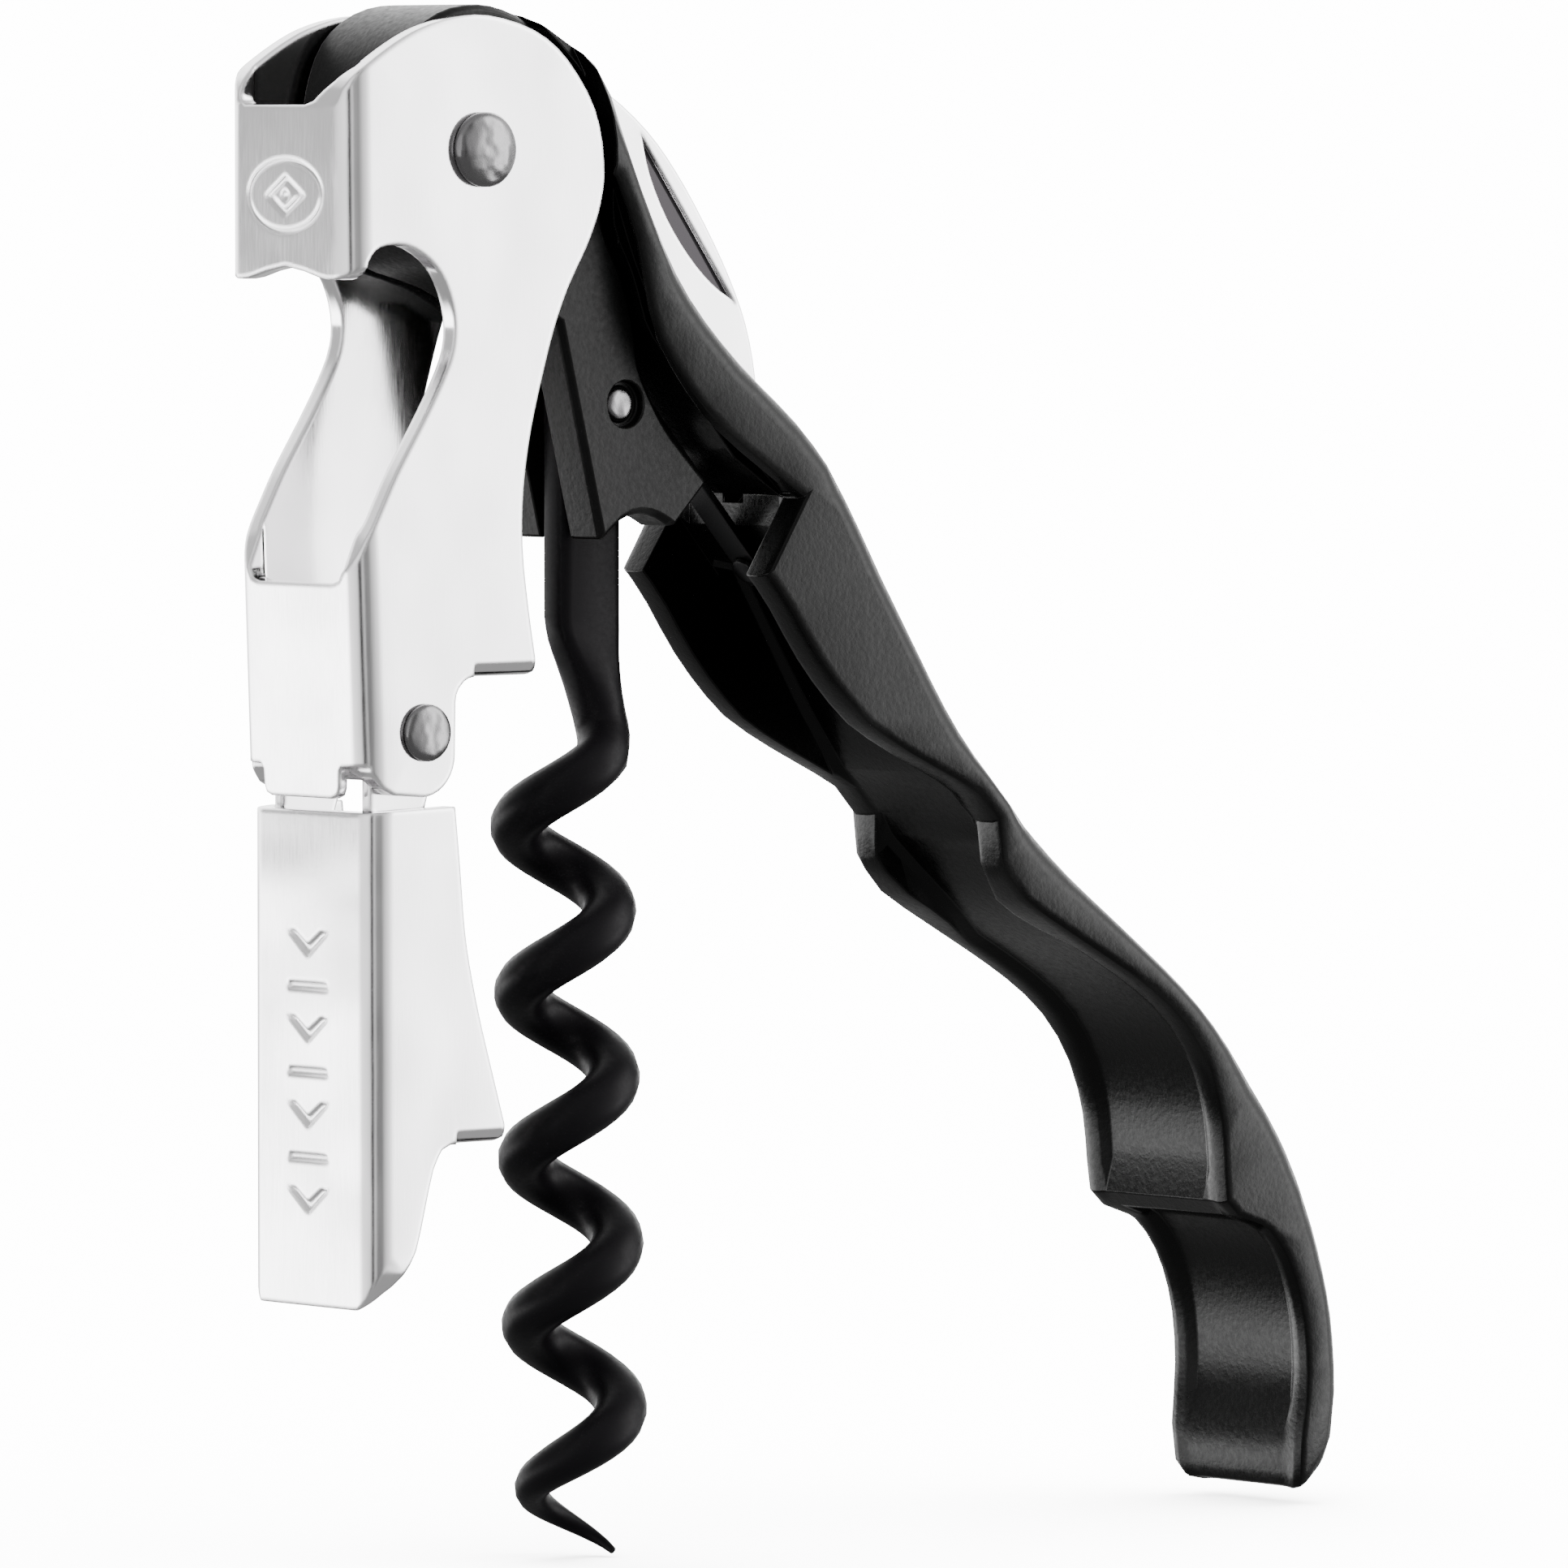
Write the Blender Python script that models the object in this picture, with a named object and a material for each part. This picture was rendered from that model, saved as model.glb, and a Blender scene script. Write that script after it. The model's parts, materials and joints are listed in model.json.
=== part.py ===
"""Lever corkscrew: a two-step, double-hinged waiter's corkscrew with a foil knife.

Lengths are written in millimetres and turned into metres where a mesh is made.
The handle is drawn closed: x runs from its front (minus) to its back (plus), z runs up,
y runs across its width, and the origin is the middle of the head rivet. The lever, the
step arm and the worm are drawn upright about the same rivet, as they stand when the
handle is swung open by OPEN_ANGLE, which is the rest position of the part.
"""
import math

import bmesh
import bpy
from mathutils import Matrix, Vector

MM = 0.001

# Driving dimensions, millimetres and degrees
OPEN_ANGLE = 41.35
HEAD_X = -31.85
HEAD_Z = 90.13
SHEET = 1.2
LEVER_HALF = 6.2
BEND_RADIUS = 1.8
LIP_RADIUS = 1.1
FRAME_HALF = 4.55
CHANNEL_HALF = 4.85
GRIP_HALF = 7.4
NECK_HALF = 6.7
TIP_HALF = 6.75
HANDLE_END = -114.4
DISC_CLEARANCE = 10.7
RIVET_RADIUS = 2.0
RIVET_HEAD_RADIUS = 2.35
WORM_PIN = (-0.79, -20.88)
WORM_PIN_RADIUS = 1.1
KNIFE_PIN = (7.8, -3.8)
KNIFE_PIN_RADIUS = 1.15
KNIFE_THICKNESS = 1.1
STEP_PIN = (-4.7, -36.5)
STEP_PIN_RADIUS = 1.5
STEP_HEAD_RADIUS = 1.8
PIN_CLEARANCE = 0.06
WORM_WIRE_RADIUS = 1.71
WORM_COIL_RADIUS = 2.93
WORM_PITCH = 10.65
WORM_LEAN = math.radians(1.62)
WORM_OFFSET = -2.25
WORM_SIDES = 14
COIL_START = -64.7
COIL_TOP = -22.4
COIL_END = -73.72
COIL_STEPS = 128
TAPER_STEPS = 26
SHANK_X = 0.15
SHANK_HALF = 2.62
SHANK_END = 2.75
SHANK_THICKNESS = 2.4
EAR_HALF = 4.75
EAR_SHEET = 0.85
EAR_RADIUS = 2.75
FRAME_SCREW_Z = -7.2
FRAME_SCREW_Y = 2.9
SPRING_RIVET_Z = -38.4
SPRING_RIVET_SHANK = 0.52


# ---------------------------------------------------------------- points and outlines
def arc(centre, radius, start, end, steps):
    """Points on an arc, angles in degrees."""
    points = []
    for step in range(steps + 1):
        angle = math.radians(start + (end - start) * step / steps)
        points.append((centre[0] + radius * math.cos(angle), centre[1] + radius * math.sin(angle)))
    return points


def curve(points, steps):
    """A smooth curve through the points (Catmull-Rom), the first and last included."""
    ends = [points[0]] + list(points) + [points[-1]]
    result = []
    for i in range(len(points) - 1):
        a, b, c, d = ends[i:i + 4]
        for step in range(steps):
            t = step / steps
            result.append(tuple(
                0.5 * (2 * q + (r - p) * t + (2 * p - 5 * q + 4 * r - s) * t * t
                       + (3 * q - p - 3 * r + s) * t ** 3)
                for p, q, r, s in zip(a, b, c, d)))
    result.append(tuple(points[-1]))
    return result


def along(line, z):
    """The x of a polyline of (z, x) points that runs downwards, at height z."""
    for (z_a, x_a), (z_b, x_b) in zip(line, line[1:]):
        if z_b <= z <= z_a and z_a > z_b:
            return x_a + (x_b - x_a) * (z_a - z) / (z_a - z_b)
    return line[0][1] if z > line[0][0] else line[-1][1]


# ---------------------------------------------------------------- meshes and objects
def material(name, colour, metallic, roughness):
    made = bpy.data.materials.new(name)
    made.use_nodes = True
    shader = made.node_tree.nodes["Principled BSDF"]
    shader.inputs["Base Color"].default_value = (*colour, 1)
    shader.inputs["Metallic"].default_value = metallic
    shader.inputs["Roughness"].default_value = roughness
    return made


def solid(name, bm, look):
    """Make an object from a bmesh in millimetres."""
    bmesh.ops.remove_doubles(bm, verts=bm.verts, dist=1e-5)
    bmesh.ops.recalc_face_normals(bm, faces=bm.faces)
    bmesh.ops.scale(bm, verts=bm.verts, vec=(MM, MM, MM))
    mesh = bpy.data.meshes.new(name)
    bm.to_mesh(mesh)
    bm.free()
    if look:
        mesh.materials.append(look)
    made = bpy.data.objects.new(name, mesh)
    bpy.context.scene.collection.objects.link(made)
    return made


def prism(name, outline, y_low, y_high, look=None):
    """An outline in the x-z plane, extruded across the width."""
    bm = bmesh.new()
    face = bm.faces.new([bm.verts.new((x, y_low, z)) for x, z in outline])
    pushed = bmesh.ops.extrude_face_region(bm, geom=[face])
    verts = [item for item in pushed["geom"] if isinstance(item, bmesh.types.BMVert)]
    bmesh.ops.translate(bm, verts=verts, vec=(0, y_high - y_low, 0))
    return solid(name, bm, look)


def front_prism(name, outline, x_low, x_high):
    """An outline of (y, z) points, extruded from front to back."""
    bm = bmesh.new()
    face = bm.faces.new([bm.verts.new((x_low, y, z)) for y, z in outline])
    pushed = bmesh.ops.extrude_face_region(bm, geom=[face])
    verts = [item for item in pushed["geom"] if isinstance(item, bmesh.types.BMVert)]
    bmesh.ops.translate(bm, verts=verts, vec=(x_high - x_low, 0, 0))
    return solid(name, bm, None)


def loft(name, rings, look=None):
    """A closed body through rings of equal point count, capped at both ends."""
    bm = bmesh.new()
    rows = [[bm.verts.new(point) for point in ring] for ring in rings]
    count = len(rows[0])
    for low, high in zip(rows, rows[1:]):
        for i in range(count):
            j = (i + 1) % count
            bm.faces.new((low[i], low[j], high[j], high[i]))
    bm.faces.new(list(reversed(rows[0])))
    bm.faces.new(rows[-1])
    return solid(name, bm, look)


def turned(name, centre, profile, look=None, segments=28):
    """A round piece about a cross axis; its profile is (y, radius) from low y to high y."""
    bm = bmesh.new()
    rows = []
    for y, radius in profile:
        row = []
        for i in range(segments):
            angle = 2 * math.pi * i / segments
            x = centre[0] + radius * math.cos(angle)
            z = centre[1] + radius * math.sin(angle)
            row.append(bm.verts.new((x, y, z)))
        rows.append(row)
    for low, high in zip(rows, rows[1:]):
        for i in range(segments):
            j = (i + 1) % segments
            bm.faces.new((low[i], low[j], high[j], high[i]))
    bm.faces.new(rows[0])
    bm.faces.new(rows[-1])
    return solid(name, bm, look)


def washer(name, centre, y_low, y_high, outer, inner, look):
    """A flat ring about a cross axis."""
    ring = turned(name, centre, [(y_low, outer), (y_high, outer)], look)
    return carve(ring, turned("hole", centre, [(y_low - 1, inner), (y_high + 1, inner)]))


def carve(target, tool, operation="DIFFERENCE"):
    """Apply an exact Boolean and remove the tool."""
    boolean = target.modifiers.new("cut", "BOOLEAN")
    boolean.operation = operation
    boolean.solver = "EXACT"
    boolean.object = tool
    bpy.context.view_layer.update()
    depsgraph = bpy.context.evaluated_depsgraph_get()
    result = bpy.data.meshes.new_from_object(target.evaluated_get(depsgraph))
    target.modifiers.clear()
    old = target.data
    target.data = result
    bpy.data.meshes.remove(old)
    bpy.data.objects.remove(tool)
    return target


def drill(target, centre, radius, y_low=-20, y_high=20, segments=28):
    """A round hole across the width."""
    return carve(target, turned("drill", centre, [(y_low, radius), (y_high, radius)], None, segments))


def smooth(target, angle=35):
    target.data.shade_smooth()
    target.data.set_sharp_from_angle(angle=math.radians(angle))
    return target


def axis_empty(name, parent, place, degrees):
    """An empty on a joint axis; degrees turns it counter-clockwise seen from minus y."""
    empty = bpy.data.objects.new(name, None)
    bpy.context.scene.collection.objects.link(empty)
    empty.empty_display_size = 5 * MM
    empty.parent = parent
    empty.location = (place[0] * MM, 0, place[1] * MM)
    empty.rotation_euler = (0, -math.radians(degrees), 0)
    return empty


def hang(target, axis, pivot=(0, 0)):
    """Give a piece its origin on a joint axis, at the pivot it was drawn around."""
    target.data.transform(Matrix.Translation((-pivot[0] * MM, 0, -pivot[1] * MM)))
    target.parent = axis
    return smooth(target)


# ---------------------------------------------------------------- handle
BACK_LINE = curve([(3.0, 9.2), (0.5, 10.3), (-3.0, 11.1), (-5.5, 10.4), (-9.5, 8.8), (-14.5, 7.5),
                   (-19.5, 7.0), (-24.7, 7.3), (-31.0, 8.3), (-36.1, 8.1), (-44.0, 6.7),
                   (-56.3, 5.1), (-66.3, 5.7), (-75.2, 7.4), (-83.0, 8.7), (-89.4, 8.9),
                   (-95.6, 8.4), (-101.2, 6.8), (-106.7, 4.3), (-111.0, 1.2), (-112.8, -0.5),
                   (-113.8, -1.7), (HANDLE_END, -3.0)], 4)
UPPER_RIM = curve([(-8.0, 6.9), (-11.5, 5.9), (-14.0, 4.7), (-17.0, 3.1), (-20.0, 2.4),
                   (-25.0, 2.4), (-29.7, 3.5), (-33.9, 4.7)], 2)
LOWER_RIM = curve([(-35.5, -0.95), (-38.0, -0.9), (-43.0, -1.4), (-48.4, -1.0), (-53.5, 0.9),
                   (-58.4, 3.0), (-60.9, 3.1)], 2)
GRIP_RIM = curve([(-63.2, 1.5), (-66.0, 1.3), (-69.2, 2.3), (-76.3, 4.9), (-81.1, 6.2),
                  (-85.3, 6.2), (-89.1, 4.9), (-92.1, 2.9), (-93.8, 1.6), (-95.2, 1.5),
                  (-96.6, 2.3), (-98.5, 3.1), (-101.6, 2.9), (-105.1, 1.4), (-108.3, -1.0),
                  (-111.2, -4.1), (-112.8, -5.3), (-113.8, -5.6), (HANDLE_END, -5.2)], 3)
RIM_LINE = [(3.0, 3.0)] + UPPER_RIM + LOWER_RIM + GRIP_RIM
HALF_LINE = curve([(3.0, NECK_HALF), (-8.0, NECK_HALF), (-20.0, 6.95), (-32.0, 7.27),
                   (-40.0, GRIP_HALF), (-43.0, GRIP_HALF), (-76.0, GRIP_HALF), (-79.0, GRIP_HALF),
                   (-92.0, 7.05), (-104.0, TIP_HALF), (-110.0, 6.7), (-112.8, 6.4), (-113.8, 5.9),
                   (HANDLE_END, 5.1)], 2)
CHANNEL_END = -73.0
FLOOR_WALL = 2.2


def handle_section(z):
    """One ring of the handle: near rim, near side, back, far side, far rim, channel."""
    back = along(BACK_LINE, z)
    rim = along(RIM_LINE, z)
    half = min(along(HALF_LINE, z), GRIP_HALF)
    floor = max(rim + 0.25, min(back - FLOOR_WALL, 3.6 if z > -40 else 99))
    inner = CHANNEL_HALF
    if z < CHANNEL_END + 9:
        blend = min(1, (CHANNEL_END + 9 - z) / 9)
        shallow = min(rim + 0.75, back - 1.3)
        floor = floor * (1 - blend) + shallow * blend
        inner = CHANNEL_HALF - 1.2 * math.sin(math.pi * min(1, blend)) + 0.3 * blend
    if -97.5 < z < -92.5:
        floor = rim + 0.12
    if z < -109.5:
        floor = rim + 0.12
    inner = min(inner, half - 1.6)
    depth = max(0.4, min(1.9, 0.45 * (back - rim)))
    crown = 0.5
    side = []
    side.append((floor, 0.0))
    side.append((floor, inner - 0.5))
    side.append((max(rim + 0.1, floor - 0.5), inner))
    side.append((rim + 0.08, inner + 0.25))
    side.append((rim, inner + 0.7))
    side.append((rim, half - 0.7))
    side.append((rim + 0.2, half - 0.2))
    side.append((rim + 0.7 * min(1, depth), half))
    side.append((back - depth, half))
    for step in range(1, 5):
        angle = math.pi / 2 * step / 4
        x = back - depth + depth * math.sin(angle)
        side.append((x, half - 1.9 * (1 - math.cos(angle))))
    side.append((back + 0.75 * crown, half * 0.4))
    side.append((back + crown, 0.0))
    far = [(x, y, z) for x, y in side]
    near = [(x, -y, z) for x, y in reversed(side[1:-1])]
    return far + near


def handle_levels():
    """Heights of the rings: even spacing, with the corners of the rim kept."""
    corners = [3.0, -33.9, -35.5, -60.9, -63.2, CHANNEL_END, -92.5, -97.5, -109.5, -112.8,
               -113.8, HANDLE_END]
    levels = set(corners)
    z = 1.5
    while z > HANDLE_END:
        if min(abs(z - corner) for corner in corners) > 0.7:
            levels.add(z)
        z -= 1.4 if z < -88 else 2.0
    return sorted(levels, reverse=True)


FRAME_OUTLINE = (
    curve([(-1.5, -13.4), (-3.2, -9.0), (-6.2, -4.0), (-6.4, 0.3), (-4.5, 4.2), (-2.0, 6.6),
           (1.0, 8.0), (4.2, 7.7), (7.0, 6.0), (8.8, 3.6), (9.5, 1.2), (9.9, -2.5),
           (9.4, -5.6), (7.6, -8.6), (5.4, -11.3), (4.5, -14.7), (3.2, -17.7), (1.8, -19.9),
           (1.1, -22.7), (0.9, -25.2), (1.2, -29.3)], 3)
    + curve([(-3.0, -29.6), (-3.5, -28.2), (-4.4, -27.0), (-5.8, -26.3), (-8.1, -26.2)], 2))
FRAME_POCKET = (
    [(-20, -40), (-20, 20), (8.2, 20), (8.2, 7.0)]
    + curve([(9.3, 3.2), (9.9, 1.0), (10.25, -2.5), (9.8, -5.8), (8.1, -8.9), (5.9, -11.6),
             (5.0, -14.9), (3.8, -17.9)], 3)
    + [(3.6, -19.0), (3.6, -40)])
KNIFE_SLOT = [(4.6, -35.2), (4.6, -8.0), (4.2, -3.8), (5.3, -0.6), (7.8, 0.6), (9.0, 5.0),
              (9.0, 12.0), (20.0, 12.0), (20.0, -35.2)]

LEVER_REBATE = (
    [(-9.0, -5.5), (9.3, -5.5), (8.1, -8.0)]
    + curve([(6.8, -11.3), (5.7, -14.3), (4.7, -17.9), (4.1, -21.3), (4.0, -25.0),
             (4.6, -29.0), (5.0, -33.8)], 2)
    + [(-9.0, -33.8)])


def make_handle_shell(look):
    shell = loft("handle_shell", [handle_section(z) for z in handle_levels()], look)
    carve(shell, prism("pocket", FRAME_POCKET, -CHANNEL_HALF - 0.06, CHANNEL_HALF + 0.06))
    for side in (-1, 1):
        low, high = sorted((side * CHANNEL_HALF, side * 12))
        disc = [(low, DISC_CLEARANCE), (high, DISC_CLEARANCE)]
        carve(shell, turned("disc", (0, 0), disc, None, 48))
        low, high = sorted((side * (CHANNEL_HALF - 0.1), side * (LEVER_HALF + 0.15)))
        carve(shell, prism("rebate", LEVER_REBATE, low, high))
    carve(shell, prism("knife_slot", KNIFE_SLOT, -0.95, 0.95))
    for y in (-FRAME_SCREW_Y, FRAME_SCREW_Y):
        carve(shell, screw_body("hole", y, None, 0.12))
    hole = [(3.0, SPRING_RIVET_SHANK), (7.1, SPRING_RIVET_SHANK)]
    carve(shell, stud("hole", 0, SPRING_RIVET_Z, hole, None, 0.08))
    return shell


def stud(name, y, z, profile, look=None, grow=0.0):
    """A round piece that runs from front to back; its profile is (x, radius) pairs."""
    bm = bmesh.new()
    rows = []
    for x, radius in profile:
        row = []
        for i in range(16):
            angle = 2 * math.pi * i / 16
            row.append(bm.verts.new((x, y + (radius + grow) * math.cos(angle),
                                     z + (radius + grow) * math.sin(angle))))
        rows.append(row)
    for low, high in zip(rows, rows[1:]):
        for i in range(16):
            j = (i + 1) % 16
            bm.faces.new((low[i], low[j], high[j], high[i]))
    bm.faces.new(rows[0])
    bm.faces.new(rows[-1])
    return solid(name, bm, look)


def screw_body(name, y, look=None, grow=0.0):
    """A countersunk screw that enters from the back; grow makes the matching hole."""
    profile = [(5.2, 0.75), (9.1, 0.75), (9.8, 1.35), (10.6 + 4 * grow, 1.35)]
    return stud(name, y, FRAME_SCREW_Z, profile, look, grow)


def make_head_frame(look):
    frame = prism("head_frame", FRAME_OUTLINE, -FRAME_HALF, FRAME_HALF, look)
    edge = frame.modifiers.new("edges", "BEVEL")
    edge.width = 0.35 * MM
    edge.segments = 1
    edge.limit_method = "ANGLE"
    edge.angle_limit = math.radians(50)
    worm_slot = [(-12, -9.6), (-3.4, -10.4), (1.2, -13.6), (3.0, -16.6), (9, -16.6), (9, -40),
                 (-12, -40)]
    carve(frame, prism("worm_slot", worm_slot, -1.5, 1.5))
    knife_slot = [(4.6, -40.0), (4.6, -8.0), (4.1, -3.8), (4.3, -0.6), (6.0, 1.4), (7.4, 3.0),
                  (8.0, 12.0), (20.0, 12.0), (20.0, -40.0)]
    carve(frame, prism("knife_slot", knife_slot, -0.95, 0.95))
    spring_slot = [(2.2, -40), (2.2, -17.0), (3.4, -11.0), (4.8, -6.4), (6.2, -6.4), (8, -40)]
    carve(frame, prism("spring_slot", spring_slot, -1.4, 1.4))
    drill(frame, (0, 0), RIVET_RADIUS + PIN_CLEARANCE)
    drill(frame, WORM_PIN, WORM_PIN_RADIUS + PIN_CLEARANCE)
    drill(frame, WORM_PIN, 1.5, -9, -FRAME_HALF + 0.7)
    drill(frame, WORM_PIN, 1.5, FRAME_HALF - 0.7, 9)
    drill(frame, KNIFE_PIN, KNIFE_PIN_RADIUS + PIN_CLEARANCE)
    for y in (-FRAME_SCREW_Y, FRAME_SCREW_Y):
        carve(frame, screw_body("hole", y, None, 0.12))
    return frame


def make_frame_screw(name, y, look):
    """A countersunk screw with a driver slot."""
    slot = [(y - 2, FRAME_SCREW_Z - 0.2), (y + 2, FRAME_SCREW_Z - 0.2),
            (y + 2, FRAME_SCREW_Z + 0.2), (y - 2, FRAME_SCREW_Z + 0.2)]
    return carve(screw_body(name, y, look), front_prism("slot", slot, 10.2, 12))


def domed(shank, head, rim, height):
    """The profile of a rivet through the lever: a shank with a domed head at each end."""
    face = LEVER_HALF + 0.06
    half = [(face, shank), (face, head), (face + rim, head)]
    for angle in (20, 38, 54, 68, 80):
        rise = (height - rim) * math.sin(math.radians(angle))
        half.append((face + rim + rise, head * math.cos(math.radians(angle))))
    return [(-y, radius) for y, radius in reversed(half)] + half


def make_head_rivet(look):
    """The rivet that joins the lever to the head, with a domed head on each side."""
    return turned("head_rivet", (0, 0), domed(RIVET_RADIUS, RIVET_HEAD_RADIUS, 0.45, 0.95), look, 40)


def make_pin(name, centre, radius, half, look):
    profile = [(-half, radius * 0.8), (-half + 0.2, radius), (half - 0.2, radius), (half, radius * 0.8)]
    return turned(name, centre, profile, look, 24)


def make_knife(look):
    """The foil knife: round base on its pin, curved spine, serrated edge inside the slot."""
    x, z = KNIFE_PIN
    base = arc((x, z), 2.9, 175, 40, 9)
    spine = curve([base[-1], (12.0, -3.6), (13.7, -7.3), (14.6, -11.3), (14.7, -15.0), (14.3, -19.0),
                   (13.6, -22.9), (12.6, -26.2), (11.0, -29.2), (8.9, -31.9), (7.2, -33.4)], 3)[1:]
    edge = []
    teeth = 9
    top = -9.5
    bottom = -31.6
    pitch = (top - bottom) / teeth
    for tooth in range(teeth):
        low = bottom + tooth * pitch
        edge.append((5.35 + 0.45 * (tooth == 0), low))
        edge.append((5.75, low + pitch * 0.35))
        edge.append((5.75, low + pitch * 0.65))
    edge.append((5.35, top))
    outline = base + spine + edge + [(5.6, -6.2)]
    half = KNIFE_THICKNESS / 2
    blade = prism("knife_blade", outline, -half, half, look)
    nick = curve([(14.05, -11.2), (12.9, -13.6), (12.15, -16.6), (11.95, -19.6), (12.2, -22.2),
                  (12.85, -24.4)], 3)
    carve(blade, prism("nick", nick, -half - 0.5, -half + 0.4))
    return drill(blade, KNIFE_PIN, KNIFE_PIN_RADIUS + PIN_CLEARANCE)


SPRING_LINE = [(2.95, -40.0), (2.85, -36.0), (2.75, -24.0), (2.85, -18.0), (3.5, -12.5),
               (4.6, -8.6), (5.0, -7.4)]


def strip(name, line, thickness, y_half, look):
    """A leaf of sheet that follows a line of (x, z) points, drawn upwards."""
    centre = [Vector(point) for point in curve(line, 3)]
    left = []
    right = []
    for i, point in enumerate(centre):
        way = (centre[min(i + 1, len(centre) - 1)] - centre[max(i - 1, 0)]).normalized()
        across = Vector((-way.y, way.x)) * thickness / 2
        left.append(tuple(point + across))
        right.append(tuple(point - across))
    return prism(name, left + right[::-1], -y_half, y_half, look)


def make_knife_spring(look):
    """A leaf along the channel floor whose upper end bears on the knife's base."""
    spring = strip("knife_spring", SPRING_LINE, 0.5, 1.15, look)
    return carve(spring, stud("hole", 0, SPRING_RIVET_Z, [(0, 0.62), (5, 0.62)]))


def make_spring_rivet(look):
    """A small rivet that holds the leaf spring to the channel floor."""
    profile = [(2.1, 0.6), (2.25, 1.0), (2.55, 1.0), (2.56, SPRING_RIVET_SHANK),
               (6.9, SPRING_RIVET_SHANK)]
    return stud("spring_rivet", 0, SPRING_RIVET_Z, profile, look)


# ---------------------------------------------------------------- lever and step arm
def channel_section(front, back, z, half, wall):
    """A U of bent sheet with its web at the front, as one ring at height z."""
    outer = BEND_RADIUS
    inner = outer - wall
    side = [(back, half - wall)]
    for step in range(5):
        angle = math.pi / 2 * step / 4
        side.append((front + outer - inner * math.sin(angle), half - outer + inner * math.cos(angle)))
    near = [(x, -y, z) for x, y in side]
    far = [(x, y, z) for x, y in reversed(side)]
    outside = [(back, half)]
    for step in range(9):
        angle = math.pi / 2 * step / 8
        outside.append((front + outer - outer * math.sin(angle), half - outer + outer * math.cos(angle)))
    far_out = [(x, y, z) for x, y in outside]
    near_out = [(x, -y, z) for x, y in reversed(outside)]
    return near + far + far_out + near_out


LEVER_WEB = [(14.0, -10.9), (-12.0, -10.9), (-26.0, -10.2), (-45.0, -9.5)]
STEP_WEB = [(-41.0, -9.2), (-80.0, -9.2)]


def web_at(z):
    return along(LEVER_WEB, z)


def lever_outline():
    """The side view of the lever: beak, head, tab, ear, cap opener gap."""
    head = curve([(-12.0, 2.6), (-10.9, 2.75), (-10.6, 3.7), (-10.05, 4.65), (-9.1, 5.4), (-7.0, 6.65),
                  (-4.9, 7.6), (-2.3, 8.25), (0.6, 8.4), (4.3, 7.5), (7.0, 5.7), (9.3, 2.6),
                  (10.1, -0.8), (9.8, -3.4),
                  (8.7, -6.0), (7.2, -8.5), (6.0, -11.1), (5.0, -14.1), (4.0, -17.7),
                  (3.4, -21.3), (3.3, -25.0), (3.8, -29.0), (4.5, -32.9)], 3)
    tab = [(4.4, -33.1), (-0.6, -33.1)] + arc((-0.6, -34.7), 1.6, 90, 180, 5)[1:]
    ear = arc((-4.9, -37.9), 2.65, 0, -100, 10)
    foot = [(-7.2, -40.35), (-8.1, -39.9), (-8.8, -39.1), (-8.95, -38.7), (-8.95, -40.7), (-12.5, -40.7)]
    gap = [(-12.0, -26.8), (-10.2, -26.5), (-9.3, -24.4)] + curve(
        [(-8.2, -22.4), (-6.9, -20.1), (-4.9, -17.1), (-3.3, -14.5), (-2.4, -12.5), (-2.3, -10.5),
         (-3.0, -8.4), (-4.3, -6.9), (-6.2, -6.0), (-8.2, -6.1), (-9.2, -7.0), (-9.6, -8.4),
         (-12.0, -8.8)], 3)
    return head + tab + ear + foot + gap


def lip_round(side, z, x_low, x_high):
    """The tool that rounds the outer lower edge of a tab whose lip is folded inwards."""
    middle = LEVER_HALF - LIP_RADIUS
    outline = [(side * (middle + LIP_RADIUS * math.cos(math.radians(angle))),
                z + LIP_RADIUS + LIP_RADIUS * math.sin(math.radians(angle)))
               for angle in range(0, -91, -15)]
    outline += [(side * middle, z - 1), (side * (LEVER_HALF + 1), z - 1),
                (side * (LEVER_HALF + 1), z + LIP_RADIUS)]
    return front_prism("lip_round", outline, x_low, x_high)


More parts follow.
